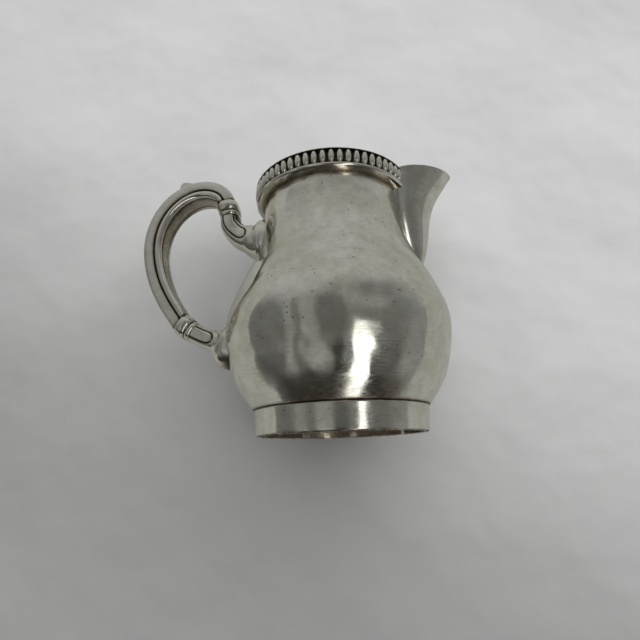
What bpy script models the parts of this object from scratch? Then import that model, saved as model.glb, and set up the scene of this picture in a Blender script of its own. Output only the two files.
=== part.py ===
"""Small silver cream jug with a pear-shaped body, a beak spout and a looped side handle.

Frame: metres, +Z up, the jug stands on Z = 0. The handle is on the -X side and the spout on the +X side,
both in the plane Y = 0. The origin is the centre of the bottom of the whole jug's box, so the round
body's own axis is at X = AXIS_X. All sizes below are millimetres, and are scaled by MM on the way out.
"""

import math

import bmesh
import bpy
import numpy as np
from mathutils import Matrix, Vector

MM = 0.001
GAP = 0.3  # clearance left between pieces that are soldered together
AXIS_X = 10.5  # the body's axis, so that handle and spout reach equally far from the origin

# Foot: a plain, slightly tapered band with an open recess inside
FOOT_HEIGHT = 6.6
FOOT_BOTTOM_RADIUS = 24.0
FOOT_TOP_RADIUS = 24.6
FOOT_WALL = 1.3

# Body: turned, one wall thickness, (height, outer radius) from the foot to the rim
BODY_WALL = 1.2
BODY_BASE_Z = FOOT_HEIGHT + GAP
BODY_OUTLINE = [
    (7.6, 25.2),
    (14.7, 29.9),
    (22.8, 32.2),
    (30.9, 32.9),
    (39.0, 30.7),
    (47.1, 27.0),
    (55.2, 23.4),
    (63.3, 22.0),
    (71.4, 21.6),
    (77.0, 21.6),
]
BODY_SEGMENTS = 64
BODY_RINGS = 18

# Rim: a plain wire, a band of upright lobes and a plain fillet, all stopping at the spout
RIM_TOP = 77.2
RIM_INNER_RADIUS = 21.6 + GAP
WIRE_BOTTOM, WIRE_TOP, WIRE_RADIUS = 71.6, 72.8, 24.1
BAND_BOTTOM, BAND_TOP, BAND_RADIUS = 73.1, 76.0, 24.2
FILLET_BOTTOM, FILLET_RADIUS = 76.3, 24.7
LOBE_COUNT = 52
LOBE_RISE = 0.7
RIM_STOP = math.radians(31.5)  # where the rim's trims stop on each side of the spout
RIM_STEPS = 58

# Spout: a folded beak that grows out of the neck
SPOUT_WALL = 1.0
SPOUT_FOOT_Z = 49.5
SPOUT_SEAM_TOP_Z = 77.2
SPOUT_CREST_RISE = 1.5  # how far the side edges rise above the straight line from the rim to the tip
SPOUT_HALF_ANGLE = math.radians(29.5)
SPOUT_KEEL = [
    (49.5, 26.2),
    (54.6, 27.9),
    (60.3, 29.1),
    (65.6, 30.1),
    (71.0, 32.0),
    (76.2, 35.2),
    (80.6, 38.2),
]
SPOUT_ACROSS = 14
SPOUT_LEVELS = 12

# Handle: a flat-sided loop between two sockets, all in the plane Y = 0, as (x from the body's axis, z)
GRIP_PATH = [
    (-35.2, 76.2),
    (-37.6, 78.0),
    (-41.5, 78.8),
    (-46.2, 77.8),
    (-52.3, 73.1),
    (-56.0, 66.0),
    (-57.0, 59.0),
    (-56.1, 52.0),
    (-53.4, 44.4),
    (-50.6, 39.4),
]
GRIP_DEPTH = 5.8  # measured in the plane of the loop
GRIP_WIDTH = 9.4  # measured across it
GRIP_STEPS = 34
GRIP_EASE = 0.07  # the part of the loop's length over which its ends turn square to the collars

# Collars: a large bead next to the grip and a small ring next to the socket. A collar is given by its
# bead's centre and by the direction that it faces, from the grip to the socket.
BEAD_LENGTH = 3.2
RING_LENGTH = 1.5
BEAD_SIZE = (7.0, 10.8)  # in the plane of the loop, across it
RING_SIZE = (6.2, 9.8)
UPPER_COLLAR = (-33.7, 72.3, math.radians(-80))
LOWER_COLLAR = (-45.8, 33.1, math.radians(-36))

# Sockets: (x, z, depth, width) from the collar to the body, flared where they meet it
UPPER_SOCKET = [
    (-32.8, 66.2, 6.3, 8.8),
    (-31.3, 64.1, 6.8, 8.6),
    (-29.2, 62.4, 7.5, 8.8),
    (-26.8, 61.6, 9.4, 10.2),
    (-24.6, 60.9, 12.4, 13.0),
    (-20.0, 60.5, 15.6, 15.6),
]
LOWER_SOCKET = [
    (-40.4, 29.7, 5.7, 8.8),
    (-38.4, 28.9, 6.0, 8.8),
    (-36.4, 28.1, 7.2, 9.4),
    (-34.6, 27.4, 9.8, 11.4),
    (-32.4, 26.7, 12.6, 13.6),
    (-30.0, 26.2, 14.0, 15.0),
]
SOCKET_STEPS = 12
SOCKET_END = (5.6, 8.9)  # depth and width where a socket enters its collar

# Thumb rest: a small pointed leaf on top of the loop
THUMB_AT = (-47.3, 81.1)
THUMB_SLOPE = math.radians(24)
THUMB_LENGTH = 7.0
THUMB_WIDTH = 4.6
THUMB_HEIGHT = 3.4

SILVER = (0.74, 0.72, 0.68)


def clear_scene():
    for old in list(bpy.data.objects):
        bpy.data.objects.remove(old, do_unlink=True)


def silver(name, roughness, color=SILVER):
    material = bpy.data.materials.new(name)
    material.use_nodes = True
    shader = material.node_tree.nodes["Principled BSDF"]
    shader.inputs["Base Color"].default_value = (*color, 1.0)
    shader.inputs["Metallic"].default_value = 1.0
    shader.inputs["Roughness"].default_value = roughness
    material.diffuse_color = (*color, 1.0)
    return material


def smooth_curve(points):
    """A natural cubic spline through the points, as a function of 0..1 along their chord length."""
    points = np.array(points, float)
    steps = np.linalg.norm(np.diff(points[:, :2], axis=0), axis=1)
    at = np.concatenate([[0.0], np.cumsum(steps)])
    at /= at[-1]
    count = len(points)
    gaps = np.diff(at)
    system = np.eye(count)
    right = np.zeros_like(points)
    for i in range(1, count - 1):
        system[i, i - 1] = gaps[i - 1]
        system[i, i] = 2 * (gaps[i - 1] + gaps[i])
        system[i, i + 1] = gaps[i]
        right[i] = 6 * ((points[i + 1] - points[i]) / gaps[i] - (points[i] - points[i - 1]) / gaps[i - 1])
    bend = np.linalg.solve(system, right)

    def curve(t):
        i = min(max(int(np.searchsorted(at, t)) - 1, 0), count - 2)
        h = gaps[i]
        a = (at[i + 1] - t) / h
        b = (t - at[i]) / h
        curved = ((a**3 - a) * bend[i] + (b**3 - b) * bend[i + 1]) * h * h / 6
        return a * points[i] + b * points[i + 1] + curved

    return curve


def body_radius(z):
    """Outer radius of the body at height z, found on the outline's smooth curve."""
    low, high = 0.0, 1.0
    for _ in range(40):
        middle = (low + high) / 2
        if body_curve(middle)[0] < z:
            low = middle
        else:
            high = middle
    return float(body_curve((low + high) / 2)[1])


body_curve = smooth_curve(BODY_OUTLINE)


def add_object(name, bm, material):
    """Turns a bmesh in millimetres about the body's axis into an object in metres in the jug's frame."""
    bmesh.ops.recalc_face_normals(bm, faces=bm.faces)
    bm.transform(Matrix.Scale(MM, 4) @ Matrix.Translation((AXIS_X, 0, 0)))
    mesh = bpy.data.meshes.new(name)
    bm.to_mesh(mesh)
    bm.free()
    if material is not None:
        mesh.materials.append(material)
    mesh.shade_smooth()
    mesh.set_sharp_from_angle(angle=math.radians(40))
    made = bpy.data.objects.new(name, mesh)
    bpy.context.scene.collection.objects.link(made)
    return made


def add_cutter(name, bm):
    made = add_object(name, bm, None)
    made.hide_render = True
    made.display_type = "WIRE"
    return made


def cut(target, cutter):
    modifier = target.modifiers.new("cut_" + cutter.name, "BOOLEAN")
    modifier.operation = "DIFFERENCE"
    modifier.solver = "EXACT"
    modifier.object = cutter


def turned(profile, segments):
    """Turns a closed outline of (radius, z) once round the axis. Points on the axis become poles."""
    bm = bmesh.new()
    corners = [bm.verts.new((radius, 0, z)) for radius, z in profile]
    edges = []
    for first, second in zip(corners, corners[1:] + corners[:1]):
        if first.co.x > 1e-6 or second.co.x > 1e-6:
            edges.append(bm.edges.new((first, second)))
    bmesh.ops.spin(
        bm,
        geom=corners + edges,
        cent=(0, 0, 0),
        axis=(0, 0, 1),
        angle=2 * math.pi,
        steps=segments,
        use_merge=True,
    )
    bmesh.ops.remove_doubles(bm, verts=bm.verts, dist=1e-4)
    return bm


def skin(rows, closed_rows=False):
    """Joins equal rings of points with faces, and caps both ends unless the last ring meets the first."""
    bm = bmesh.new()
    rings = [[bm.verts.new(point) for point in row] for row in rows]
    pairs = list(zip(rings, rings[1:]))
    if closed_rows:
        pairs.append((rings[-1], rings[0]))
    for low, high in pairs:
        for i in range(len(low)):
            j = (i + 1) % len(low)
            bm.faces.new((low[i], low[j], high[j], high[i]))
    if not closed_rows:
        bm.faces.new(rings[0])
        bm.faces.new(rings[-1])
    return bm


def rim_arc(section, steps):
    """Sweeps a section of (radius, z), which may change with the angle, round the rim outside the spout."""
    rows = []
    for i in range(steps + 1):
        angle = RIM_STOP + (2 * math.pi - 2 * RIM_STOP) * i / steps
        rows.append([(r * math.cos(angle), r * math.sin(angle), z) for r, z in section(i)])
    return skin(rows)


def across(centre, direction, outline):
    """Places an outline of (outward, across) square to a direction in the plane Y = 0."""
    outward = (math.sin(direction), -math.cos(direction))
    return [(centre[0] + u * outward[0], v, centre[1] + u * outward[1]) for u, v in outline]


def oval(depth, width, power, count):
    """A rounded rectangle between an ellipse (power 2) and a box, as (outward, across)."""
    outline = []
    for i in range(count):
        angle = 2 * math.pi * (i + 0.5) / count
        c, s = math.cos(angle), math.sin(angle)
        u = math.copysign(abs(c) ** (2 / power), c) * depth / 2
        v = math.copysign(abs(s) ** (2 / power), s) * width / 2
        outline.append((u, v))
    return outline


def mirrored(half):
    """Closes half an outline of (outward, across), given from the outer to the inner side."""
    return half + [(u, -v) for u, v in reversed(half)]


def collar_point(collar, distance):
    """A point on a collar's axis, at a distance from its bead's centre towards the socket."""
    x, z, direction = collar
    return (x + distance * math.cos(direction), z + distance * math.sin(direction))


def heading(curve, t):
    before, after = curve(max(t - 0.01, 0.0)), curve(min(t + 0.01, 1.0))
    return math.atan2(after[1] - before[1], after[0] - before[0])


def turned_towards(angle, goal, part):
    """The angle moved a part of the way to the goal, the short way round."""
    return angle + part * math.remainder(goal - angle, 2 * math.pi)


def make_foot(material):
    bottom_inner = FOOT_BOTTOM_RADIUS - FOOT_WALL
    top_inner = FOOT_TOP_RADIUS - FOOT_WALL
    edge = 0.25
    profile = [
        (FOOT_TOP_RADIUS, FOOT_HEIGHT - edge),
        (FOOT_TOP_RADIUS - edge, FOOT_HEIGHT),
        (top_inner, FOOT_HEIGHT),
        (bottom_inner, 0.0),
        (FOOT_BOTTOM_RADIUS - edge, 0.0),
        (FOOT_BOTTOM_RADIUS, edge),
    ]
    return add_object("foot_ring", turned(profile, BODY_SEGMENTS), material)


def wall_outline(extra, base_z, rings):
    """The body's outer outline from the middle of its base up to the rim, moved out by extra."""
    outline = [(0.0, base_z), (BODY_OUTLINE[0][1] - 0.9 + extra, base_z)]
    for i in range(rings):
        z, radius = body_curve(i / (rings - 1))
        outline.append((float(radius) + extra, float(z)))
    return outline


def make_body(material):
    outer = wall_outline(0.0, BODY_BASE_Z, BODY_RINGS)
    inner = wall_outline(-BODY_WALL, BODY_BASE_Z + BODY_WALL, BODY_RINGS)
    inner = [(r, max(z, BODY_BASE_Z + BODY_WALL)) for r, z in inner if r == 0.0 or z > BODY_BASE_Z + 1.5]
    body = add_object("body", turned(outer + inner[::-1], BODY_SEGMENTS), material)
    notch = [(10.0, 0.0, 55.0), (10.0, 8.6, 80.0), (10.0, -8.6, 80.0)]
    rows = [[(x, y, z) for _, y, z in notch] for x in (10.0, 30.0)]
    cut(body, add_cutter("notch_cutter", skin(rows)))
    return body


def make_rim(material, fillet_material):
    inner = RIM_INNER_RADIUS

    def wire(_):
        low, high, outer = WIRE_BOTTOM, WIRE_TOP, WIRE_RADIUS
        middle = (low + high) / 2
        return [(inner, low), (outer - 0.5, low), (outer, middle), (outer - 0.5, high), (inner, high)]

    def band(i):
        rise = LOBE_RISE * (1.0 - abs((i % 4) - 2) / 2) ** 0.5
        low, high, outer = BAND_BOTTOM, BAND_TOP, BAND_RADIUS
        return [
            (inner, low),
            (outer - 0.3, low),
            (outer - 0.2 + rise, low + 0.7),
            (outer - 0.2 + rise, high - 0.7),
            (outer - 0.3, high),
            (inner, high),
        ]

    def fillet(_):
        low, high, outer = FILLET_BOTTOM, RIM_TOP, FILLET_RADIUS
        return [(inner, low), (outer, low), (outer, high - 0.3), (outer - 0.4, high), (inner, high)]

    add_object("rim_wire", rim_arc(wire, RIM_STEPS), fillet_material)
    add_object("rim_border", rim_arc(band, 4 * LOBE_COUNT), material)
    add_object("rim_fillet", rim_arc(fillet, RIM_STEPS), fillet_material)


def spout_point(across_part, level, keel):
    """A point of the spout's outer surface: across_part runs -1..1 over the keel, level 0..1 upwards."""
    side = math.copysign(1.0, across_part)
    seam_z = SPOUT_FOOT_Z + level * (SPOUT_SEAM_TOP_Z - SPOUT_FOOT_Z)
    keel_z, keel_x = keel(level)
    seam_angle = math.radians(5) + (SPOUT_HALF_ANGLE - math.radians(5)) * level**0.8
    seam_radius = body_radius(seam_z) - 0.4
    out_x, out_y = math.cos(seam_angle), math.sin(seam_angle)
    start = Vector((seam_radius * out_x, seam_radius * out_y))
    reach = keel_x - start.x
    first = start + Vector((out_x, out_y)) * (0.28 * reach)
    second = Vector((keel_x, 0.22 * start.y + 0.4))
    end = Vector((keel_x, 0.0))
    t = 1.0 - abs(across_part)
    a, b, c, d = (1 - t) ** 3, 3 * t * (1 - t) ** 2, 3 * t * t * (1 - t), t**3
    flat = start * a + first * b + second * c + end * d
    height = seam_z + (keel_z - seam_z) * t
    height += SPOUT_CREST_RISE * level**3 * math.sin(math.pi * t**1.2) ** 1.5
    return (flat.x, side * flat.y, height)


def make_spout(material):
    keel_curve = smooth_curve(SPOUT_KEEL)
    bm = bmesh.new()
    rows = []
    for i in range(SPOUT_LEVELS + 1):
        level = i / SPOUT_LEVELS
        parts = [-1.0 + 2.0 * j / SPOUT_ACROSS for j in range(SPOUT_ACROSS + 1)]
        rows.append([bm.verts.new(spout_point(part, level, keel_curve)) for part in parts])
    for low, high in zip(rows, rows[1:]):
        for j in range(SPOUT_ACROSS):
            bm.faces.new((low[j], low[j + 1], high[j + 1], high[j]))
    spout = add_object("spout", bm, material)
    shell = spout.modifiers.new("sheet", "SOLIDIFY")
    shell.thickness = SPOUT_WALL * MM
    shell.offset = -1.0
    shell.use_even_offset = True
    shell.use_rim = True
    outline = wall_outline(GAP, BODY_BASE_Z - GAP, BODY_RINGS)
    clear = outline + [(outline[-1][0], RIM_TOP + 12.0), (0.0, RIM_TOP + 12.0)]
    cut(spout, add_cutter("spout_cutter", turned(clear, BODY_SEGMENTS)))


def grip_section():
    """Flat sides with a groove, and a bead along each inner corner."""
    depth, width = GRIP_DEPTH / 2, GRIP_WIDTH / 2
    half = [
        (depth, 0.5 * width),
        (depth - 0.4, width - 0.5),
        (depth - 1.0, width - 0.1),
        (-depth + 2.4, width - 0.1),
        (-depth + 2.0, width - 0.6),
        (-depth + 1.6, width - 0.1),
        (-depth + 0.9, width),
        (-depth + 0.2, width - 0.5),
        (-depth, 0.5 * width),
    ]
    return mirrored(half)


def make_grip(material):
    end = -(BEAD_LENGTH / 2 + GAP)
    path = smooth_curve([collar_point(UPPER_COLLAR, end)] + GRIP_PATH + [collar_point(LOWER_COLLAR, end)])
    rows = []
    for i in range(GRIP_STEPS + 1):
        t = i / GRIP_STEPS
        direction = heading(path, t)
        direction = turned_towards(direction, UPPER_COLLAR[2] + math.pi, max(1 - t / GRIP_EASE, 0.0))
        direction = turned_towards(direction, LOWER_COLLAR[2], max(1 - (1 - t) / GRIP_EASE, 0.0))
        rows.append(across(path(t), direction, grip_section()))
    return add_object("handle_grip", skin(rows), material)


def bead_rows(collar, middle, length, size):
    """A turned bead with rounded edges, centred at a distance from the collar's bead."""
    rows = []
    for along, grow in ((-0.5, 0.84), (-0.3, 0.97), (0.0, 1.0), (0.3, 0.97), (0.5, 0.84)):
        at = collar_point(collar, middle + along * length)
        rows.append(across(at, collar[2], oval(size[0] * grow, size[1] * grow, 3.0, 16)))
    return rows


def make_collar(prefix, collar, material):
    bead = skin(bead_rows(collar, 0.0, BEAD_LENGTH, BEAD_SIZE))
    add_object(prefix + "_bead", bead, material)
    middle = BEAD_LENGTH / 2 + GAP + RING_LENGTH / 2
    ring = skin(bead_rows(collar, middle, RING_LENGTH, RING_SIZE))
    add_object(prefix + "_ring", ring, material)


def make_socket(name, collar, stations, material):
    start = BEAD_LENGTH / 2 + GAP + RING_LENGTH + GAP
    curve = smooth_curve([collar_point(collar, start) + SOCKET_END] + stations)
    rows = []
    for i in range(SOCKET_STEPS + 1):
        t = i / SOCKET_STEPS
        x, z, depth, width = curve(t)
        direction = turned_towards(heading(curve, t), collar[2], max(1 - t / GRIP_EASE, 0.0))
        rows.append(across((x, z), direction, oval(depth, width, 3.0 - 0.8 * t, 16)))
    socket = add_object(name, skin(rows), material)
    outline = wall_outline(GAP, BODY_BASE_Z - GAP, BODY_RINGS)
    clear = outline + [(outline[-1][0], RIM_TOP + 12.0), (0.0, RIM_TOP + 12.0)]
    cut(socket, add_cutter(name + "_cutter", turned(clear, BODY_SEGMENTS)))


def make_thumb_rest(material):
    """A leaf whose point leans back along the loop: rings that shrink from the base to the tip."""
    rows = []
    for part in (0.0, 0.3, 0.6, 0.85, 1.0):
        shrink = 1.0 - 0.86 * part**0.8
        lean = -0.12 * THUMB_LENGTH * part
        at = Vector(THUMB_AT)
        up = Vector((-math.sin(THUMB_SLOPE), math.cos(THUMB_SLOPE))) * THUMB_HEIGHT * part
        along = Vector((math.cos(THUMB_SLOPE), math.sin(THUMB_SLOPE)))
        ring = []
        for a, b in oval(THUMB_LENGTH * shrink, THUMB_WIDTH * shrink, 2.0, 12):
            flat = at + up + along * (a + lean)
            ring.append((flat.x, b, flat.y))
        rows.append(ring)
    return add_object("thumb_rest", skin(rows), material)


def main():
    clear_scene()
    satin = silver("satin_silver", 0.33)
    polished = silver("polished_silver", 0.22)
    tarnished = silver("tarnished_silver", 0.4, (0.5, 0.47, 0.42))
    make_body(satin)
    make_foot(satin)
    make_rim(tarnished, polished)
    make_spout(satin)
    make_grip(polished)
    make_thumb_rest(polished)
    make_collar("upper_collar", UPPER_COLLAR, polished)
    make_collar("lower_collar", LOWER_COLLAR, polished)
    make_socket("upper_socket", UPPER_COLLAR, UPPER_SOCKET, polished)
    make_socket("lower_socket", LOWER_COLLAR, LOWER_SOCKET, polished)


main()
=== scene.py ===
"""Looks of the small silver cream jug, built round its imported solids.

All shapes below are worked out in millimetres about the body's own axis, and moved into the frame on the
way out: x runs towards the spout, z up, and the handle and spout lie in the plane y = 0.
"""

import math

import bmesh
import bpy
import numpy as np
from mathutils import Matrix, Vector, noise


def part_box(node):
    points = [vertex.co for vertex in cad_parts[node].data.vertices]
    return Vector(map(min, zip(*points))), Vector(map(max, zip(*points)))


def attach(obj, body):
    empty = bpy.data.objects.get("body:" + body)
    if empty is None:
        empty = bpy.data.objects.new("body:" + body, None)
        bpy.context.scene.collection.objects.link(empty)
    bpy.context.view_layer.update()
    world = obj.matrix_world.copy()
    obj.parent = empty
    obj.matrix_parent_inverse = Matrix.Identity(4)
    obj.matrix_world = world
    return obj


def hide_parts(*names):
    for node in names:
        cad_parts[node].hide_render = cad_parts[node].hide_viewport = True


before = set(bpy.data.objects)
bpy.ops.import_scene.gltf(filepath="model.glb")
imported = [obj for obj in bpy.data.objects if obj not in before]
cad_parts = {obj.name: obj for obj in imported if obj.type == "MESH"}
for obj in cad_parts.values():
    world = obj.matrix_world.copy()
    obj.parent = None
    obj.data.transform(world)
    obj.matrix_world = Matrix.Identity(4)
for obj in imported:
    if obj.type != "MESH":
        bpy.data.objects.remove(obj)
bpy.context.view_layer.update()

MM = 0.001
foot_low, foot_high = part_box("foot_ring")
AXIS_X = (foot_low[0] + foot_high[0]) / 2 / MM

# Body: turned, one wall thickness, (height, outer radius) from the foot to the rim, as in the solids
BODY_WALL = 1.2
BODY_BASE_Z = 6.9
BODY_OUTLINE = [
    (7.6, 25.2),
    (14.7, 29.9),
    (22.8, 32.2),
    (30.9, 32.9),
    (39.0, 30.7),
    (47.1, 27.0),
    (55.2, 23.4),
    (63.3, 22.0),
    (71.4, 21.6),
    (77.0, 21.6),
]
BODY_TOP = 77.0
NECK_RADIUS = 22.0  # about the middle of the neck

# Rim: unlike those of the solids, its three pieces overlap a little and run on into the spout's wall
RIM_INNER = 21.5
RIM_STOP = math.radians(27.5)
WIRE_STOP = math.radians(24.6)
WIRE_LOW, WIRE_HIGH, WIRE_RADIUS = 71.6, 72.9, 24.25
WIRE_ROUND = 0.75  # how far its rounded front stands out
BAND_LOW, BAND_HIGH, BAND_RADIUS = 72.75, 77.0, 23.45
LOBE_COUNT = 52
LOBE_RISE = 1.2
LOBE_HALF_WIDTH = 0.39  # as a part of a lobe's place
LOBE_HALF_HEIGHT = 2.12

# Spout: the keel as in the solids, but with another seam and a lower crest
SPOUT_WALL = 1.0
SPOUT_FOOT_Z = 49.5
SPOUT_SEAM_TOP_Z = 77.2
SPOUT_CREST_RISE = 0.4
SPOUT_HALF_ANGLE = math.radians(29.5)
SPOUT_FOOT_ANGLE = math.radians(1.5)
SPOUT_KEEL = [
    (49.5, 26.2),
    (54.6, 27.9),
    (60.3, 29.1),
    (65.6, 30.1),
    (71.0, 32.0),
    (76.2, 35.2),
    (80.6, 38.2),
]

# The notch that the spout's channel opens through: a wedge with its edge downwards
NOTCH_FROM_X, NOTCH_TO_X = 10.0, 30.0
NOTCH_FOOT_Z, NOTCH_TOP_Z = 55.0, 80.0
NOTCH_HALF_WIDTH = 8.6

# Handle: a loop between two collars, (x, z) in the plane y = 0, as in the solids
GRIP_PATH = [
    (-35.2, 76.2),
    (-37.6, 78.0),
    (-41.5, 78.8),
    (-46.2, 77.8),
    (-52.3, 73.1),
    (-56.0, 66.0),
    (-57.0, 59.0),
    (-56.1, 52.0),
    (-53.4, 44.4),
    (-50.6, 39.4),
]
GRIP_DEPTH = 5.8
GRIP_WIDTH = 9.4
GRIP_EASE = 0.07  # the part of a length over which its end turns square to the collar
BEAD_LENGTH = 3.2
RING_LENGTH = 1.5
GAP = 0.3
BEAD_SIZE = (7.0, 10.8)
RING_SIZE = (6.2, 9.8)
# A collar is given by its bead's centre and by the direction from the grip to the socket
UPPER_COLLAR = (-33.7, 72.3, math.radians(-80))
LOWER_COLLAR = (-45.8, 33.1, math.radians(-36))

# Sockets: (x, z, depth, width) from the collar to the body, with more stations in the flares than in the
# solids
SOCKET_END = (5.6, 8.9)
UPPER_SOCKET = [
    (-32.8, 66.2, 6.3, 8.8),
    (-31.3, 64.1, 6.8, 8.6),
    (-29.2, 62.4, 7.5, 8.8),
    (-26.8, 61.6, 8.9, 10.1),
    (-25.2, 61.0, 10.6, 11.6),
    (-23.8, 60.8, 12.9, 13.1),
    (-22.3, 60.6, 14.2, 14.1),
    (-20.0, 60.5, 14.8, 14.6),
]
LOWER_SOCKET = [
    (-40.4, 29.7, 5.7, 8.8),
    (-38.4, 28.9, 6.0, 8.8),
    (-36.7, 28.3, 6.9, 9.3),
    (-35.5, 27.8, 8.4, 10.4),
    (-34.6, 27.4, 11.0, 12.2),
    (-33.6, 27.1, 12.9, 13.5),
    (-32.4, 26.7, 13.5, 14.0),
    (-30.0, 26.2, 13.6, 14.4),
]
PANEL_HALF_HEIGHT = 1.75
GROOVE_DEPTH = 0.42

# Where the flares meet the body on the handle's side: height, half width, half height
FLARE_FEET = [
    (60.5, 6.9, 6.6),
    (26.6, 6.6, 6.7),
]

# Thumb rest: a small point on top of the loop
THUMB_AT = (-47.3, 80.8)
THUMB_SLOPE = math.radians(24)
THUMB_SIZE = (7.0, 4.6, 3.7)  # length, width, height

# Shallow dents in the body: direction from +X round towards the far side in degrees, height, depth,
# and the half widths round the body and upwards
DENTS = [
    (-119, 23, 0.30, 4.0, 6.5),
    (-92, 27, 0.38, 3.0, 7.0),
    (-79, 23, 0.32, 6.5, 6.5),
    (-76, 31.0, 1.10, 7.0, 4.2),
    (-60, 28, 0.35, 5.0, 5.0),
    (-140, 40, 0.30, 6.0, 5.0),
    (-99, 65, 0.25, 3.0, 5.0),
    (35, 28, 0.45, 6.0, 6.0),
    (120, 34, 0.40, 7.0, 5.0),
]
# The unevenness of the whole wall: depth, and how fast it changes per millimetre
RIPPLES = [
    (0.28, 0.11),
    (0.09, 0.3),
]

# Brown marks on the body: direction, height, strength and half widths, as for the dents. The two at heights
# 58 and 66 are stains; the three low on the belly, at 9.5 and 15, are painted dark reflections.
STAINS_AND_DARK_REFLECTIONS = [
    (-98, 66.0, 0.22, 1.8, 4.5),
    (-104, 9.5, 0.34, 7.0, 2.2),
    (-62, 9.5, 0.30, 6.0, 2.4),
    (-128, 15.0, 0.20, 5.0, 3.5),
    (-150, 58.0, 0.20, 4.0, 5.0),
]

# Colours of silver, of what lies in its marks, and of dirt; the brown and the dirt colour also paint shade
# and dark reflections in a few places
BRIGHT = (0.87, 0.862, 0.785)
DULL = (0.74, 0.72, 0.60)
HAZE = (0.50, 0.49, 0.44)
SCRATCH = (0.42, 0.40, 0.35)
MARK = (0.30, 0.28, 0.24)
PIT = (0.10, 0.09, 0.08)
BROWN = (0.44, 0.35, 0.25)
DIRT_AND_SHADE = (0.060, 0.048, 0.036)
WRAP_RADIUS = 0.026  # metres; the scratches are laid out on a cylinder of this size

# How bright the room is round the jug up to eye height: azimuth, level. The camera's side is 0 and the
# spout's is 90.
ROOM_BANDS = [
    (-180, 0.30),
    (-120, 0.22),
    (-100, 0.15),
    (-76, 0.08),
    (-64, 0.10),
    (-57, 0.28),
    (-49, 0.30),
    (-42, 0.12),
    (-36, 0.12),
    (-29, 0.34),
    (-14, 0.30),
    (-6, 0.05),
    (5, 0.05),
    (12, 0.18),
    (32, 0.16),
    (42, 0.10),
    (58, 0.12),
    (78, 0.24),
    (115, 0.27),
    (150, 0.36),
    (180, 0.34),
]
EYE_HEIGHT_GREY = 0.19
OVERHEAD_GREY = 0.40
BEHIND_JUG_GREY = 0.60
LOW_DARK = (0.035, 0.03, 0.028)

# The cloth leans so that it touches the belly and the rim behind the jug
CLOTH_LEAN = math.radians(9)
CLOTH_AT = (0.0338, 0.031)  # metres: how far behind the axis, and how high
CLOTH_SIZE = 3.0
CLOTH_GREY = (0.78, 0.79, 0.785)
CLOTH_PALE = (0.85, 0.855, 0.85)
# Painted shadow on the cloth, low on one side.
CLOTH_SHADOWED = (0.42, 0.42, 0.415)
# Painted shade: the cloth as the metal mirrors it.
CLOTH_SHADED_IN_METAL = (0.50, 0.50, 0.48)

# The lights shine at a point this high on the jug's axis
LIT_Z = 0.035

# The camera, in metres and radians: in front of the axis and just below the foot
CAMERA_Y, CAMERA_Z = -0.1379, -0.0054
CAMERA_YAW, CAMERA_PITCH, CAMERA_ROLL = -0.0366, 0.3035, -0.0343
CAMERA_LENS = 26.65
CAMERA_SHIFT = -0.0195


# ---------------------------------------------------------------- shapes


def smooth_curve(points):
    """A natural cubic spline through the points, as a function of 0..1 along their chord length."""
    points = np.array(points, float)
    steps = np.linalg.norm(np.diff(points[:, :2], axis=0), axis=1)
    at = np.concatenate([[0.0], np.cumsum(steps)])
    at /= at[-1]
    count = len(points)
    gaps = np.diff(at)
    system = np.eye(count)
    right = np.zeros_like(points)
    for i in range(1, count - 1):
        system[i, i - 1] = gaps[i - 1]
        system[i, i] = 2 * (gaps[i - 1] + gaps[i])
        system[i, i + 1] = gaps[i]
        right[i] = 6 * ((points[i + 1] - points[i]) / gaps[i] - (points[i] - points[i - 1]) / gaps[i - 1])
    bend = np.linalg.solve(system, right)

    def curve(t):
        i = min(max(int(np.searchsorted(at, t)) - 1, 0), count - 2)
        h = gaps[i]
        a = (at[i + 1] - t) / h
        b = (t - at[i]) / h
        curved = ((a**3 - a) * bend[i] + (b**3 - b) * bend[i + 1]) * h * h / 6
        return a * points[i] + b * points[i + 1] + curved

    return curve


body_curve = smooth_curve(BODY_OUTLINE)
OUTLINE_TABLE = np.array([body_curve(t) for t in np.linspace(0, 1, 400)])


def body_radius(z):
    return float(np.interp(z, OUTLINE_TABLE[:, 0], OUTLINE_TABLE[:, 1]))


def falloff(distance, width):
    return math.exp(-((distance / width) ** 2))


def turn_from(angle, other):
    """How far one angle lies from another, in radians, the short way round."""
    return math.remainder(angle - other, 2 * math.pi)


def dent(angle, z):
    """How far the body's wall is pushed in at a place."""
    pushed = 0.0
    radius = body_radius(z)
    for degrees, height, depth, wide, tall in DENTS:
        along = turn_from(angle, math.radians(degrees)) * radius
        pushed += depth * falloff(along, wide) * falloff(z - height, tall)
    place = Vector((radius * math.cos(angle), radius * math.sin(angle), z))
    return pushed + sum(depth * noise.noise(place * rate) for depth, rate in RIPPLES)


def add_piece(name, points, faces, material, nodes, grime_and_shade, sharp=45):
    """A piece of the jug that stands for some of the solids. Grime_and_shade is 0..1 at each point: how brown
    and dark the metal is painted there, for dirt and tarnish and in a few places for painted shade and
    painted dark reflections. Edges with more than sharp degrees between their faces stay crisp."""
    mesh = bpy.data.meshes.new(name)
    mesh.from_pydata([tuple(p) for p in points], [], faces)
    layer = mesh.attributes.new("grime_and_shade", "FLOAT", "POINT")
    layer.data.foreach_set("value", np.clip(np.array(grime_and_shade, np.float32), 0, 1))
    bm = bmesh.new()
    bm.from_mesh(mesh)
    bmesh.ops.remove_doubles(bm, verts=bm.verts, dist=1e-4)
    bmesh.ops.recalc_face_normals(bm, faces=bm.faces)
    bm.transform(Matrix.Scale(MM, 4) @ Matrix.Translation((AXIS_X, 0, 0)))
    bm.to_mesh(mesh)
    bm.free()
    mesh.materials.append(material)
    mesh.shade_smooth()
    mesh.set_sharp_from_angle(angle=math.radians(sharp))
    made = bpy.data.objects.new(name, mesh)
    bpy.context.scene.collection.objects.link(made)
    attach(made, "root")
    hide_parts(*nodes)
    return made


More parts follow.
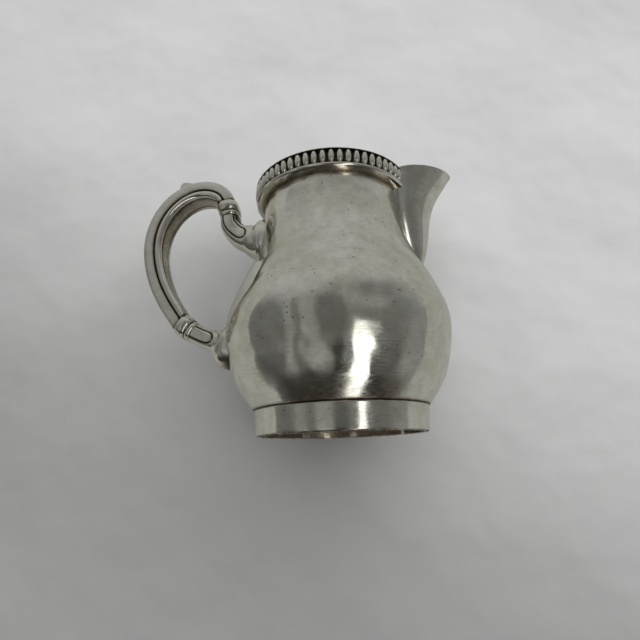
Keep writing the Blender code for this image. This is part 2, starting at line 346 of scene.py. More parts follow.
def lattice(rows, around=True, along=False, caps=True):
    """Joins equal rows of points with faces. Around closes each row, along joins the last row to the first,
    and caps close the ends of an open run of closed rows."""
    points = np.array(rows, float)
    count, width = points.shape[:2]
    index = np.arange(count * width).reshape(count, width)
    faces = []
    for i in range(count if along else count - 1):
        for j in range(width if around else width - 1):
            k, m = (i + 1) % count, (j + 1) % width
            faces.append((int(index[i, j]), int(index[i, m]), int(index[k, m]), int(index[k, j])))
    if caps and around and not along:
        faces.append(tuple(int(v) for v in index[0][::-1]))
        faces.append(tuple(int(v) for v in index[-1]))
    return points.reshape(-1, 3), faces


def across(centre, direction, outline):
    """Places an outline of (outward, across) square to a direction in the plane y = 0."""
    outward = (math.sin(direction), -math.cos(direction))
    return [(centre[0] + u * outward[0], v, centre[1] + u * outward[1]) for u, v in outline]


def oval(depth, width, power, count):
    """A rounded rectangle between an ellipse (power 2) and a box, evenly spaced along its edge."""
    fine = []
    for i in range(8 * count):
        angle = 2 * math.pi * i / (8 * count)
        c, s = math.cos(angle), math.sin(angle)
        u = math.copysign(abs(c) ** (2 / power), c) * depth / 2
        v = math.copysign(abs(s) ** (2 / power), s) * width / 2
        fine.append((u, v))
    fine = np.array(fine + fine[:1])
    run = np.concatenate([[0.0], np.cumsum(np.linalg.norm(np.diff(fine, axis=0), axis=1))])
    at = np.linspace(0, run[-1], count, endpoint=False)
    return list(zip(np.interp(at, run, fine[:, 0]), np.interp(at, run, fine[:, 1])))


def heading(curve, t):
    """The direction in which a curve in the plane y = 0 runs."""
    before, after = curve(max(t - 0.01, 0.0)), curve(min(t + 0.01, 1.0))
    return math.atan2(after[1] - before[1], after[0] - before[0])


def turned_towards(angle, goal, part):
    """An angle turned by a part of the way to another, the short way round."""
    return angle + part * math.remainder(goal - angle, 2 * math.pi)


def collar_point(collar, distance):
    """A point on a collar's axis, given by its distance from the bead towards the socket."""
    x, z, direction = collar
    return (x + distance * math.cos(direction), z + distance * math.sin(direction))


def seam_angle(level):
    """Half the angle that the spout takes up on the neck, at a level 0..1 from its foot to the rim."""
    return SPOUT_FOOT_ANGLE + (SPOUT_HALF_ANGLE - SPOUT_FOOT_ANGLE) * level**0.62


# ---------------------------------------------------------------- materials


class Nodes:
    """Short ways to add nodes to a material or a world, and to link them."""

    def __init__(self, owner):
        owner.use_nodes = True
        self.tree = owner.node_tree
        self.shader = self.tree.nodes.get("Principled BSDF")

    def add(self, kind, inputs=(), **settings):
        node = self.tree.nodes.new(kind)
        for key, value in settings.items():
            setattr(node, key, value)
        for key, value in dict(inputs).items():
            self.set(node.inputs[key], value)
        return node

    def set(self, socket, value):
        if isinstance(value, bpy.types.NodeSocket):
            self.tree.links.new(value, socket)
        else:
            socket.default_value = value

    def math(self, operation, first, second=0.0):
        return self.add("ShaderNodeMath", {0: first, 1: second}, operation=operation).outputs[0]

    def weigh(self, first, part, second):
        """Part of the first value and the rest of the second."""
        return self.math("ADD", self.math("MULTIPLY", first, part), self.math("MULTIPLY", second, 1.0 - part))

    def noise(self, vector, scale, detail=3.0, roughness=0.5):
        inputs = {"Vector": vector, "Scale": scale, "Detail": detail, "Roughness": roughness}
        return self.add("ShaderNodeTexNoise", inputs).outputs["Fac"]

    def streaks(self, vector, tilt, along, upwards, detail, roughness=0.5):
        """Noise drawn out into streaks. Along and upwards are its scales round the jug and up it."""
        inputs = {"Vector": vector, "Rotation": (0.0, tilt, 0.0), "Scale": (along, 1.0, upwards)}
        return self.noise(self.add("ShaderNodeMapping", inputs).outputs[0], 1.0, detail, roughness)

    def ramp(self, value, low, high, from_value=0.0, to_value=1.0):
        inputs = {"Value": value, "From Min": low, "From Max": high, "To Min": from_value, "To Max": to_value}
        node = self.add("ShaderNodeMapRange", inputs)
        node.interpolation_type = "SMOOTHSTEP"
        return node.outputs["Result"]

    def mix(self, part, first, second):
        node = self.add("ShaderNodeMix", data_type="RGBA")
        self.set(node.inputs["Factor"], part)
        self.set(node.inputs[6], first)
        self.set(node.inputs[7], second)
        return node.outputs[2]

    def tint(self, colour, shade, part, strength):
        return self.mix(self.math("MULTIPLY", part, strength), colour, (*shade, 1.0))

    def bump(self, height, strength, distance, normal=None):
        inputs = {"Height": height, "Strength": strength, "Distance": distance}
        if normal is not None:
            inputs["Normal"] = normal
        return self.add("ShaderNodeBump", inputs).outputs["Normal"]


def silver(name, dull, rough, scratch, pits):
    """Worn silver. Fine scratches run round the body, and dark tarnish fills the recesses. The same brown and
    dark also paint shade under the rim wire and dark reflections on the handle and low on the belly.
    """
    material = bpy.data.materials.new(name)
    n = Nodes(material)
    place = n.add("ShaderNodeTexCoord").outputs["Object"]
    parts = n.add("ShaderNodeSeparateXYZ", {0: place})
    from_axis = n.math("SUBTRACT", parts.outputs["X"], AXIS_X * MM)
    round_axis = n.math("MULTIPLY", n.math("ARCTAN2", parts.outputs["Y"], from_axis), WRAP_RADIUS)
    wrapped = n.add("ShaderNodeCombineXYZ", {"X": round_axis, "Z": parts.outputs["Z"]}).outputs[0]
    fine = n.streaks(wrapped, 0.0, 220.0, 4200.0, 4.0, 0.6)
    coarse = n.streaks(wrapped, 0.5, 500.0, 1900.0, 3.0, 0.55)
    slanted = n.streaks(wrapped, 0.9, 110.0, 3000.0, 2.0)
    cloudy = n.noise(place, 75.0, 5.0, 0.6)
    patchy = n.noise(place, 260.0, 4.0, 0.6)
    sparse = n.ramp(n.noise(place, 130.0, 2.0), 0.47, 0.60)
    cells = n.add("ShaderNodeTexVoronoi", {"Vector": place, "Scale": 620.0, "Randomness": 1.0})
    grime_and_shade = n.add("ShaderNodeAttribute", attribute_name="grime_and_shade").outputs["Fac"]

    tarnish = n.ramp(n.weigh(cloudy, 0.6, patchy), 0.36, 0.62)
    haze = n.ramp(n.weigh(coarse, 0.5, patchy), 0.40, 0.60)
    lines = n.ramp(fine, 0.58, 0.70)
    spot = n.math("MULTIPLY", n.ramp(cells.outputs["Distance"], 0.10, 0.17, 1.0, 0.0), sparse)
    spot = n.math("MULTIPLY", spot, pits)
    marks = n.math("MULTIPLY", n.ramp(slanted, 0.66, 0.72), pits)
    # Brown and dark from the attribute: tarnish and dirt, and in places painted shade and painted dark
    # reflections.
    stain_and_shade = n.ramp(grime_and_shade, 0.05, 0.50)
    uneven = n.math("MULTIPLY", n.math("SUBTRACT", patchy, 0.5), 0.5)
    dark = n.ramp(n.math("ADD", grime_and_shade, uneven), 0.30, 0.80)

    colour = n.mix(tarnish, (*BRIGHT, 1.0), (*dull, 1.0))
    colour = n.tint(colour, HAZE, haze, 0.20)
    colour = n.tint(colour, SCRATCH, lines, 0.38)
    colour = n.tint(colour, PIT, spot, 0.8)
    colour = n.tint(colour, MARK, marks, 0.45)
    colour = n.tint(colour, BROWN, stain_and_shade, 0.75)
    colour = n.mix(dark, colour, (*DIRT_AND_SHADE, 1.0))
    n.set(n.shader.inputs["Base Color"], colour)

    shine = n.ramp(n.weigh(coarse, 0.5, cloudy), 0.35, 0.65)
    roughness = n.ramp(shine, 0.0, 1.0, rough - 0.05, rough + 0.07)
    roughness = n.math("ADD", roughness, n.math("MULTIPLY", n.math("ADD", dark, stain_and_shade), 0.14))
    n.set(n.shader.inputs["Roughness"], roughness)
    n.shader.inputs["Metallic"].default_value = 1.0

    height = n.math("SUBTRACT", n.weigh(fine, 0.6, coarse), n.math("MULTIPLY", spot, 1.2))
    ripple = n.noise(place, 150.0, 2.0)
    n.set(n.shader.inputs["Normal"], n.bump(ripple, 0.25, 0.0001, n.bump(height, scratch, 0.00006)))
    return material


satin = silver("satin_silver", DULL, rough=0.14, scratch=0.20, pits=1.0)
polished = silver("polished_silver", (0.80, 0.77, 0.66), rough=0.12, scratch=0.10, pits=0.4)
worn = silver("tarnished_silver", (0.80, 0.78, 0.69), rough=0.20, scratch=0.0, pits=0.0)


# ---------------------------------------------------------------- body and foot


def body_grime_and_shade(angle, z):
    """Dirt above the foot, along the spout's seam and round the flares; brown tarnish and painted shade under
    the rim; stains, and painted dark reflections low on the belly.
    """
    darkening = 0.8 * falloff(z - 7.1, 0.45)
    # Brown tarnish with painted shade on the neck just under the rim wire.
    darkening += 0.3 * falloff(z - 71.4, 1.2)
    level = (z - SPOUT_FOOT_Z) / (SPOUT_SEAM_TOP_Z - SPOUT_FOOT_Z)
    if -0.05 < level < 1.0:
        off = (abs(turn_from(angle, 0.0)) - seam_angle(max(level, 0.0))) * NECK_RADIUS
        darkening += 0.8 * falloff(off, 0.7)
    # Stains, and the low marks are painted dark reflections.
    for degrees, height, strength, wide, tall in STAINS_AND_DARK_REFLECTIONS:
        along = turn_from(angle, math.radians(degrees)) * body_radius(z)
        darkening += strength * falloff(along, wide) * falloff(z - height, tall)
    for height, half_wide, half_tall in FLARE_FEET:
        along = turn_from(angle, math.pi) * body_radius(z)
        edge = math.hypot(along / half_wide, (z - height) / half_tall)
        darkening += 0.8 * falloff((edge - 1.0) * 6, 0.8)
    return darkening


def make_body():
    """The vessel, from the middle of its base up the outside and down the inside, as (radius, height, how
    much of the dents it takes)."""
    turns = 240
    outer = [(z, r) for z, r in (body_curve(t) for t in np.linspace(0, 1, 110)) if z < 76.5]
    outline = [(0.0, BODY_BASE_Z, 0.0), (12.0, BODY_BASE_Z, 0.0), (24.2, BODY_BASE_Z, 0.0), (24.8, 7.1, 0.3)]
    outline += [(r, z, 1.0) for z, r in outer]
    outline += [(21.55, 76.75, 1.0), (21.3, BODY_TOP, 1.0), (20.7, BODY_TOP, 1.0), (20.45, 76.75, 1.0)]
    outline += [(r - BODY_WALL, z, 1.0) for z, r in outer[::-2] if z > 9.2]
    outline += [(23.0, 8.3, 0.3), (12.0, 8.1, 0.0), (0.0, 8.1, 0.0)]
    rows, grime_and_shade = [], []
    for radius, z, loose in outline:
        row = []
        for i in range(turns):
            angle = 2 * math.pi * i / turns
            fade = loose * min(max((z - 7.5) / 5, 0), 1) * min(max((74 - z) / 6, 0), 1)
            r = radius - fade * dent(angle, z)
            row.append((r * math.cos(angle), r * math.sin(angle), z))
            inside = radius < body_radius(z) - 0.6
            grime_and_shade.append(0.0 if inside or radius < 24 and z < 8 else body_grime_and_shade(angle, z))
        rows.append(row)
    points, faces = lattice(rows, caps=False)
    body = add_piece("jug_body", points, faces, satin, ["body"], grime_and_shade)
    cut_away(body, make_notch())


def make_notch():
    """The wedge that is cut out of the neck behind the spout."""
    profile = ((0.0, NOTCH_FOOT_Z), (NOTCH_HALF_WIDTH, NOTCH_TOP_Z), (-NOTCH_HALF_WIDTH, NOTCH_TOP_Z))
    bm = bmesh.new()
    ends = [[bm.verts.new((x, y, z)) for y, z in profile] for x in (NOTCH_FROM_X, NOTCH_TO_X)]
    bm.faces.new(ends[0])
    bm.faces.new(ends[1])
    for i in range(3):
        j = (i + 1) % 3
        bm.faces.new((ends[0][i], ends[0][j], ends[1][j], ends[1][i]))
    bmesh.ops.recalc_face_normals(bm, faces=bm.faces)
    bm.transform(Matrix.Scale(MM, 4) @ Matrix.Translation((AXIS_X, 0, 0)))
    mesh = bpy.data.meshes.new("notch")
    bm.to_mesh(mesh)
    bm.free()
    notch = bpy.data.objects.new("notch", mesh)
    bpy.context.scene.collection.objects.link(notch)
    return notch


def cut_away(piece, cutter):
    """Takes the cutter's shape out of the piece's mesh, and removes the cutter."""
    modifier = piece.modifiers.new("cut", "BOOLEAN")
    modifier.operation = "DIFFERENCE"
    modifier.object = cutter
    bpy.context.view_layer.update()
    evaluated = piece.evaluated_get(bpy.context.evaluated_depsgraph_get())
    cut_mesh = bpy.data.meshes.new_from_object(evaluated)
    piece.modifiers.clear()
    piece.data = cut_mesh
    bpy.data.objects.remove(cutter, do_unlink=True)


def make_foot():
    """The foot ring, its section given as (radius, height, dirt)."""
    turns = 260
    top = 6.95
    outline = [
        (24.58, top, 0.8),
        (24.66, 6.8, 0.35),
        (24.62, 6.5, 0.0),
        (24.5, 5.6, 0.0),
        (24.35, 4.0, 0.0),
        (24.2, 2.4, 0.0),
        (24.08, 0.9, 0.0),
        (24.03, 0.35, 0.3),
        (23.9, 0.1, 0.9),
        (23.6, 0.0, 0.8),
        (22.9, 0.0, 0.6),
        (22.7, 0.2, 0.5),
        (22.9, 2.5, 0.5),
        (23.1, 5.0, 0.6),
        (23.3, top, 1.0),
    ]
    rows, grime_and_shade = [], []
    for radius, z, darkening in outline:
        row = []
        for i in range(turns):
            angle = 2 * math.pi * i / turns
            place = Vector((3 * math.cos(angle), 3 * math.sin(angle), z * 0.15))
            wobble = 0.05 * noise.noise(place) + 0.02 * noise.noise(place * 5)
            lift = 0.10 * max(noise.noise(place * 3 + Vector((9, 0, 0))), 0) if 0 < z < 0.5 else 0.0
            r = radius + wobble
            row.append((r * math.cos(angle), r * math.sin(angle), z + lift))
            grime_and_shade.append(darkening * (0.75 + 0.5 * noise.noise(place * 4)))
        rows.append(row)
    points, faces = lattice(rows, along=True)
    add_piece("jug_foot", points, faces, satin, ["foot_ring"], grime_and_shade)


# ---------------------------------------------------------------- rim


def rim_arc(section, steps, stop):
    """Sweeps a section of (radius, z, grime and painted shade), which may change with the angle, round to the
    spout's wall, which it meets at the angle of stop on either side."""
    rows, grime_and_shade = [], []
    for i in range(steps + 1):
        angle = stop + (2 * math.pi - 2 * stop) * i / steps
        cut = section(angle)
        rows.append([(r * math.cos(angle), r * math.sin(angle), z) for r, z, _ in cut])
        grime_and_shade += [g for _, _, g in cut]
    points, faces = lattice(rows)
    return points, faces, grime_and_shade


def wire_section(_):
    """The wire under the lobes: against the neck inside, round outside, dirty above, and below it brown
    tarnish with painted shade.
    """
    darkening = 0.85
    middle, half = (WIRE_LOW + WIRE_HIGH) / 2, (WIRE_HIGH - WIRE_LOW) / 2
    front = WIRE_RADIUS - WIRE_ROUND
    section = [
        # Painted shade with brown tarnish underneath, where the wire meets the neck.
        (RIM_INNER, WIRE_LOW - 0.35, 0.72 * darkening),
        (RIM_INNER + 1.0, WIRE_LOW - 0.25, 0.5 * darkening),
        (front, WIRE_LOW, 0.0),
    ]
    for i in range(1, 8):
        angle = math.pi * (i / 8 - 0.5)
        section.append((front + WIRE_ROUND * math.cos(angle), middle + half * math.sin(angle), 0.0))
    section += [(front, WIRE_HIGH, darkening), (RIM_INNER, WIRE_HIGH, darkening)]
    return section


def band_section(angle):
    """The strip of lobes, cut through at an angle: bright on a lobe, dark on the ground between two."""
    pitch = (2 * math.pi - 2 * RIM_STOP) / LOBE_COUNT
    middle = (BAND_LOW + BAND_HIGH) / 2 + 0.05
    off = abs(((angle - RIM_STOP) / pitch) % 1.0 - 0.5) / LOBE_HALF_WIDTH
    section = [(RIM_INNER, BAND_LOW, 1.0)]
    for i in range(23):
        z = BAND_LOW + (BAND_HIGH - BAND_LOW) * i / 22
        reach = 1.0 - off**2.2 - (abs(z - middle) / LOBE_HALF_HEIGHT) ** 3.2
        rise = math.sqrt(reach) if reach > 0 else 0.0
        section.append((BAND_RADIUS + LOBE_RISE * rise, z, 1.0 - 1.9 * rise))
    section.append((RIM_INNER, BAND_HIGH, 1.0))
    return section


def edge_section(_):
    """The thin plain edge above the lobes."""
    return [
        (RIM_INNER, 76.85, 1.0),
        (23.9, 76.88, 1.0),
        (24.3, 76.93, 0.7),
        (24.42, 77.03, 0.4),
        (24.32, 77.15, 0.3),
        (24.0, 77.22, 0.1),
        (22.0, 77.2, 0.1),
        (RIM_INNER, 77.05, 0.5),
    ]


def make_rim():
    points, faces, grime_and_shade = rim_arc(band_section, 12 * LOBE_COUNT, RIM_STOP)
    add_piece("rim_lobes", points, faces, worn, ["rim_border"], grime_and_shade, sharp=60)
    points, faces, grime_and_shade = rim_arc(wire_section, 240, WIRE_STOP)
    add_piece("rim_lower_wire", points, faces, polished, ["rim_wire"], grime_and_shade)
    points, faces, grime_and_shade = rim_arc(edge_section, 240, RIM_STOP)
    add_piece("rim_upper_edge", points, faces, polished, ["rim_fillet"], grime_and_shade)


# ---------------------------------------------------------------- spout


def spout_point(across_part, level, keel):
    """A point of the outer face: across_part runs from -1 to 1 between the seams with the keel at 0, and
    level from 0 at the foot to 1 at the open edge."""
    side = math.copysign(1.0, across_part)
    seam_z = SPOUT_FOOT_Z + level * (SPOUT_SEAM_TOP_Z - SPOUT_FOOT_Z)
    keel_z, keel_x = keel(level)
    angle = seam_angle(level)
    seam_radius = body_radius(seam_z) - 0.5
    out_x, out_y = math.cos(angle), math.sin(angle)
    start = Vector((seam_radius * out_x, seam_radius * out_y))
    reach = keel_x - start.x
    side_way = angle - (angle + math.radians(6)) * (1 - level) ** 2
    first = start + Vector((math.cos(side_way), math.sin(side_way))) * ((0.48 - 0.2 * level) * reach)
    second = Vector((keel_x, (0.60 - 0.25 * level) * start.y + 0.3))
    end = Vector((keel_x, 0.0))
    t = 1.0 - abs(across_part)
    a, b, c, d = (1 - t) ** 3, 3 * t * (1 - t) ** 2, 3 * t * t * (1 - t), t**3
    flat = start * a + first * b + second * c + end * d
    height = seam_z + (keel_z - seam_z) * t * (2 - t)
    height += SPOUT_CREST_RISE * level**3 * math.sin(math.pi * t**1.2) ** 1.5
    return (flat.x, side * flat.y, height)


def make_spout():
    keel_curve = smooth_curve(SPOUT_KEEL)
    levels, parts = 60, 72
    rows, grime_and_shade = [], []
    for i in range(levels + 1):
        level = i / levels
        row = []
        for j in range(parts + 1):
            part = -1.0 + 2.0 * j / parts
            row.append(spout_point(part, level, keel_curve))
            edge = 1.0 - abs(part)
            tip = 0.5 * falloff(1.0 - level, 0.05) * falloff(part, 0.10)
            grime_and_shade.append(0.6 * falloff(edge, 0.02) + 0.5 * falloff(level, 0.02) + tip)
        rows.append(row)
    points, faces = lattice(rows, around=False, caps=False)
    spout = add_piece("jug_spout", points, faces, satin, ["spout"], grime_and_shade)
    shell = spout.modifiers.new("sheet", "SOLIDIFY")
    shell.thickness = SPOUT_WALL * MM
    shell.offset = -1.0
    shell.use_even_offset = True
    soft = spout.modifiers.new("soft_edge", "BEVEL")
    soft.width = 0.3 * MM
    soft.segments = 3
    soft.limit_method = "ANGLE"
    soft.angle_limit = math.radians(50)


# ---------------------------------------------------------------- handle


def grip_half_section():
    """From the middle of the outer face round the side to the middle of the inner face, with grime."""
    depth, width = GRIP_DEPTH / 2, GRIP_WIDTH / 2
    half = [(depth, 0.0, 0.0), (depth - 0.04, 0.35 * width, 0.0), (depth - 0.16, 0.68 * width, 0.0)]
    half.append((depth - 0.32, width - 0.75, 0.1))
    for i in range(6):
        turn = math.radians(15 + 15 * i)
        half.append((depth - 1.05 + 0.75 * math.cos(turn), width - 0.85 + 0.75 * math.sin(turn), 0.0))
    half += [(depth - 1.6, width - 0.06, 0.0), (depth - 2.4, width - 0.04, 0.0), (-0.15, width - 0.06, 0.0)]
    for off, deep in ((-0.34, 0.06), (-0.22, 0.16), (-0.1, 0.40), (0.0, 0.50), (0.1, 0.40), (0.22, 0.16)):
        half.append((-0.75 - off, width - 0.04 - deep, 0.35 + 1.3 * deep))
    for i in range(11):
        turn = math.radians(90 + 15 * i - 30)
        u, v = -depth + 1.0 + 1.0 * math.cos(turn), width - 0.95 + 1.0 * math.sin(turn)
        half.append((min(u, -1.05), v, 0.0))
    half += [(-depth + 0.25, width - 2.05, 0.9), (-depth + 0.12, width - 2.35, 0.55)]
    half += [(-depth + 0.05, 0.3 * width, 0.42), (-depth, 0.0, 0.42)]
    return half


def make_grip():
    half = grip_half_section()
    section = half + [(u, -v, g) for u, v, g in half[-2:0:-1]]
    end = -(BEAD_LENGTH / 2 - 0.2)
    path = smooth_curve([collar_point(UPPER_COLLAR, end)] + GRIP_PATH + [collar_point(LOWER_COLLAR, end)])
    steps = 220
    rows, grime_and_shade = [], []
    for i in range(steps + 1):
        t = i / steps
        direction = heading(path, t)
        direction = turned_towards(direction, UPPER_COLLAR[2] + math.pi, max(1 - t / GRIP_EASE, 0.0))
        direction = turned_towards(direction, LOWER_COLLAR[2], max(1 - (1 - t) / GRIP_EASE, 0.0))
        rows.append(across(path(t), direction, [(u, v) for u, v, _ in section]))
        near_collar = 0.7 * (falloff(t, 0.012) + falloff(1 - t, 0.012))
        grime_and_shade += [g + near_collar for _, _, g in section]
    points, faces = lattice(rows)
    add_piece("handle_loop", points, faces, polished, ["handle_grip"], grime_and_shade, sharp=60)


def bead_piece(name, node, collar, middle, length, size):
    """A bead or a ring across the handle, swollen in its middle."""
    rows, grime_and_shade = [], []
    for i in range(15):
        part = i / 14 - 0.5
        swell = math.sqrt(max(1 - (2.0 * part) ** 2 * 0.82, 0))
        grow = 0.80 + 0.20 * swell if abs(part) < 0.499 else 0.86
        at = collar_point(collar, middle + part * (length + GAP))
        rows.append(across(at, collar[2], oval(size[0] * grow, size[1] * grow, 3.0, 64)))
        grime_and_shade += [0.55 * falloff(abs(part) - 0.5, 0.06)] * 64
    points, faces = lattice(rows)
    add_piece(name, points, faces, polished, [node], grime_and_shade, sharp=70)


def make_collar(prefix, collar):
    bead_piece("handle_" + prefix + "_bead", prefix + "_collar_bead", collar, 0.0, BEAD_LENGTH, BEAD_SIZE)
    middle = BEAD_LENGTH / 2 + GAP + RING_LENGTH / 2
    bead_piece("handle_" + prefix + "_ring", prefix + "_collar_ring", collar, middle, RING_LENGTH, RING_SIZE)


def kept_in_wall(point):
    """Moves a point that has gone through the body's wall back into the wall."""
    x, y, z = point
    limit = body_radius(z) - 0.6
    radius = math.hypot(x, y)
    if radius >= limit:
        return point
    return (x * limit / radius, y * limit / radius, z)


def make_socket(name, node, collar, stations, panel_length, shade):
    """A socket with a grooved panel on each side, from its collar to its flare on the body. Shade is how dark
    the painted dark reflection on the inside of its bend is."""
    start = BEAD_LENGTH / 2 + GAP + RING_LENGTH - 0.1
    curve = smooth_curve([collar_point(collar, start) + SOCKET_END] + stations)
    steps, count = 130, 132
    rows, grime_and_shade = [], []
    run = 0.0
    last = curve(0.0)
    for i in range(steps + 1):
        t = i / steps
        x, z, depth, width = curve(t)
        run += math.hypot(x - last[0], z - last[1])
        last = curve(t)
        direction = turned_towards(heading(curve, t), collar[2], max(1 - t / GRIP_EASE, 0.0))
        ring = []
        for u, v in oval(depth, width, 3.4 - 1.3 * t, count):
            beyond = max(run - (panel_length - PANEL_HALF_HEIGHT * 0.8), 0.0)
            edge = (math.hypot(beyond, u) if beyond else abs(u)) - PANEL_HALF_HEIGHT
            groove = falloff(edge, 0.26) if abs(v) > 0.55 * width / 2 else 0.0
            raised = 0.05 if edge < 0 else 0.0
            inside = max(-2 * u / depth, 0.0)
            bend = shade * falloff(run - 3.6, 3.4)
            ring.append((u, v - math.copysign(GROOVE_DEPTH * groove - raised, v)))
            darkening = 0.95 * groove + 0.8 * falloff(run, 0.35)
            # Painted dark reflection on the body-facing side of the bend, as of the shaded gap by the neck.
            darkening += 1.6 * bend * min(max(inside - 0.68, 0.0) * 8, 1.0)
            # Painted dark reflection on the outer, lower tip of the flare.
            darkening += 0.9 * falloff(1 - t, 0.16) * min(max(u / depth - 0.2, 0.0) * 5, 1.0)
            grime_and_shade.append(darkening)
        rows.append([kept_in_wall(p) for p in across((x, z), direction, ring)])
    points, faces = lattice(rows)
    add_piece(name, points, faces, polished, [node], grime_and_shade, sharp=60)


def make_thumb_rest():
    """A small oval point on top of the loop, leaning back a little."""
    length, width, height = THUMB_SIZE
    rows, grime_and_shade = [], []
    along = Vector((math.cos(THUMB_SLOPE), math.sin(THUMB_SLOPE)))
    upwards = Vector((-math.sin(THUMB_SLOPE), math.cos(THUMB_SLOPE)))
    for i in range(13):
        part = i / 12
        shrink = 1.0 - 0.75 * part**1.7
        at = Vector(THUMB_AT) + upwards * (height * part - 0.3) - along * (0.12 * length * part)
        ring = []
        for a, b in oval(length * shrink, width * shrink, 2.0, 40):
            flat = at + along * a
            ring.append((flat.x, b, flat.y))
            grime_and_shade.append(0.15 + 0.5 * falloff(part, 0.2))
        rows.append(ring)
    points, faces = lattice(rows)
    add_piece("handle_thumb_rest", points, faces, polished, ["thumb_rest"], grime_and_shade)


# ---------------------------------------------------------------- stage, light and camera


def cloth_material(name):
    """Pale cloth with a painted shadow, darker low on one side, and darker still where the metal mirrors it,
    as painted shade; see-through from behind so that it never hides the jug.
    """
    material = bpy.data.materials.new(name)
    n = Nodes(material)
    place = n.add("ShaderNodeTexCoord").outputs["Object"]
    soft = n.noise(place, 9.0, 4.0, 0.5)
    colour = n.mix(n.ramp(soft, 0.3, 0.7), (*CLOTH_GREY, 1.0), (*CLOTH_PALE, 1.0))
    parts = n.add("ShaderNodeSeparateXYZ", {0: place})
    # Painted shadow: the cloth darkens towards the lower left.
    slant = n.math("ADD", n.math("MULTIPLY", parts.outputs["X"], 0.5), parts.outputs["Y"])
    colour = n.mix(n.ramp(slant, -0.10, 0.09), (*CLOTH_SHADOWED, 1.0), colour)
    # Painted shade: the cloth is darker where the metal mirrors it, for the shadows near the jug.
    in_metal = n.add("ShaderNodeLightPath").outputs["Is Glossy Ray"]
    colour = n.mix(in_metal, colour, (*CLOTH_SHADED_IN_METAL, 1.0))
    n.set(n.shader.inputs["Base Color"], colour)
    n.shader.inputs["Roughness"].default_value = 0.95
    n.shader.inputs["Specular IOR Level"].default_value = 0.1
    folds = n.bump(n.noise(place, 20.0, 3.0, 0.45), 0.9, 0.005)
    weave = n.bump(n.noise(place, 900.0, 2.0), 0.15, 0.0003, folds)
    n.set(n.shader.inputs["Normal"], weave)
    clear = n.add("ShaderNodeBsdfTransparent").outputs[0]
    back = n.add("ShaderNodeNewGeometry").outputs["Backfacing"]
    shown = n.add("ShaderNodeMixShader", {0: back, 1: n.shader.outputs[0], 2: clear}).outputs[0]
    n.set(n.tree.nodes["Material Output"].inputs["Surface"], shown)
    return material


def add_plane(name, size, matrix, material):
    mesh = bpy.data.meshes.new(name)
    half = size / 2
    corners = [(-half, -half, 0), (half, -half, 0), (half, half, 0), (-half, half, 0)]
    mesh.from_pydata(corners, [], [(0, 1, 2, 3)])
    mesh.materials.append(material)
    made = bpy.data.objects.new(name, mesh)
    made.matrix_world = matrix
    bpy.context.scene.collection.objects.link(made)
    return made


def make_stage():
    """Cloth behind the jug and under it. The floor is only seen: it takes no part in the light."""
    cloth = cloth_material("pale_cloth")
    behind, height = CLOTH_AT
    upright = Matrix.Rotation(math.pi / 2 + CLOTH_LEAN, 4, "X")
    add_plane("backdrop", CLOTH_SIZE, Matrix.Translation((AXIS_X * MM, behind, height)) @ upright, cloth)
    floor = add_plane("floor", CLOTH_SIZE, Matrix.Identity(4), cloth)
    floor.visible_glossy = False
    floor.visible_diffuse = False
    floor.visible_shadow = False


def towards(azimuth, elevation):
    """A direction away from the jug. Azimuth 0 is the camera's side, 90 the spout's."""
    a, e = math.radians(azimuth), math.radians(elevation)
    return Vector((math.sin(a) * math.cos(e), -math.cos(a) * math.cos(e), math.sin(e)))


def add_light(name, lamp, back, distance):
    """Places a light out in the direction back, shining at the jug."""
    made = bpy.data.objects.new(name, lamp)
    made.location = Vector((AXIS_X * MM, 0, LIT_Z)) + back * distance
    made.rotation_mode = "QUATERNION"
    made.rotation_quaternion = (-back).to_track_quat("-Z", "Y")
    made.visible_camera = False
    bpy.context.scene.collection.objects.link(made)
    return made


def add_window(azimuth, elevation, distance, size, power):
    """The tall bright opening that the metal reflects."""
    lamp = bpy.data.lights.new("window", "AREA")
    lamp.shape = "RECTANGLE"
    lamp.size, lamp.size_y = size
    lamp.energy = power
    window = add_light("window", lamp, towards(azimuth, elevation), distance)
    window.visible_diffuse = False


def add_daylight(azimuth, elevation, strength):
    """Even light on the cloth, with a soft shadow. The metal doesn't reflect it."""
    lamp = bpy.data.lights.new("daylight", "SUN")
    lamp.energy = strength
    lamp.angle = math.radians(75)
    daylight = add_light("daylight", lamp, towards(azimuth, elevation), 1.0)
    daylight.visible_glossy = False


def grey(level):
    return (level, level, level, 1.0)


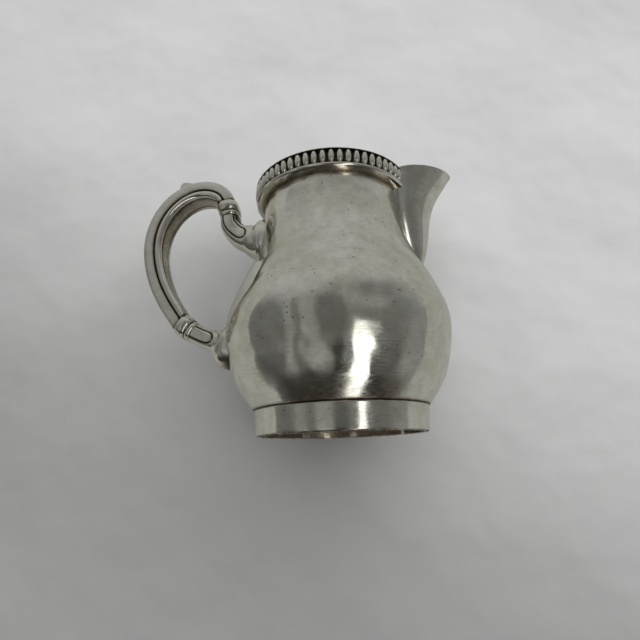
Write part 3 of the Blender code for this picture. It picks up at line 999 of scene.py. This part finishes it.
def make_world():
    """A plain room: dark low down, then vertical bands of light and dark, fainter from eye height up, and
    even overhead. The camera itself sees a plain pale grey."""
    world = bpy.data.worlds.new("room")
    bpy.context.scene.world = world
    n = Nodes(world)
    way = n.add("ShaderNodeTexCoord").outputs["Generated"]
    parts = n.add("ShaderNodeSeparateXYZ", {0: way})
    turn = n.math("ARCTAN2", parts.outputs["X"], n.math("MULTIPLY", parts.outputs["Y"], -1.0))
    turn = n.math("ADD", n.math("MULTIPLY", turn, 0.5 / math.pi), 0.5)
    bands = n.add("ShaderNodeValToRGB", {"Fac": turn})
    bands.color_ramp.interpolation = "EASE"
    stops = bands.color_ramp.elements
    while len(stops) < len(ROOM_BANDS):
        stops.new(0.5)
    for stop, (azimuth, level) in zip(stops, ROOM_BANDS):
        stop.position = azimuth / 360 + 0.5
        stop.color = grey(level)
    above = n.ramp(parts.outputs["Z"], -0.34, -0.02)
    room = n.mix(n.math("MULTIPLY", above, 0.5), bands.outputs["Color"], grey(EYE_HEIGHT_GREY))
    overhead = n.ramp(parts.outputs["Z"], 0.25, 0.80)
    room = n.mix(overhead, room, grey(OVERHEAD_GREY))
    low = n.ramp(parts.outputs["Z"], -0.85, -0.50)
    room = n.mix(low, (*LOW_DARK, 1.0), room)
    seen = n.add("ShaderNodeLightPath").outputs["Is Camera Ray"]
    background = n.tree.nodes["Background"]
    n.set(background.inputs["Color"], n.mix(seen, room, grey(BEHIND_JUG_GREY)))
    background.inputs["Strength"].default_value = 1.0


def make_camera():
    """Close to the jug and just below its foot, looking up at it, as if it lay on its back on a table."""
    data = bpy.data.cameras.new("camera")
    data.sensor_width = 36.0
    data.lens = CAMERA_LENS
    data.shift_y = CAMERA_SHIFT
    data.clip_start = 0.005
    data.clip_end = 20.0
    made = bpy.data.objects.new("camera", data)
    yaw, pitch, roll = CAMERA_YAW, CAMERA_PITCH, CAMERA_ROLL
    ahead = Vector((math.sin(yaw) * math.cos(pitch), math.cos(yaw) * math.cos(pitch), math.sin(pitch)))
    level_right = Vector((math.cos(yaw), -math.sin(yaw), 0.0))
    level_up = level_right.cross(ahead)
    right = math.cos(roll) * level_right + math.sin(roll) * level_up
    up = -math.sin(roll) * level_right + math.cos(roll) * level_up
    turn = Matrix((right, up, -ahead)).transposed()
    made.matrix_world = Matrix.Translation((AXIS_X * MM, CAMERA_Y, CAMERA_Z)) @ turn.to_4x4()
    bpy.context.scene.collection.objects.link(made)
    bpy.context.scene.camera = made


make_body()
make_foot()
make_rim()
make_spout()
make_grip()
make_collar("upper", UPPER_COLLAR)
make_collar("lower", LOWER_COLLAR)
make_socket("handle_upper_socket", "upper_socket", UPPER_COLLAR, UPPER_SOCKET, panel_length=9.6, shade=1.0)
make_socket("handle_lower_socket", "lower_socket", LOWER_COLLAR, LOWER_SOCKET, panel_length=6.4, shade=0.0)
make_thumb_rest()
make_stage()
add_window(azimuth=26, elevation=-38, distance=0.6, size=(0.11, 0.94), power=0.56)
add_daylight(azimuth=14, elevation=20, strength=2.05)
make_world()
make_camera()
bpy.context.scene.view_settings.view_transform = "Standard"
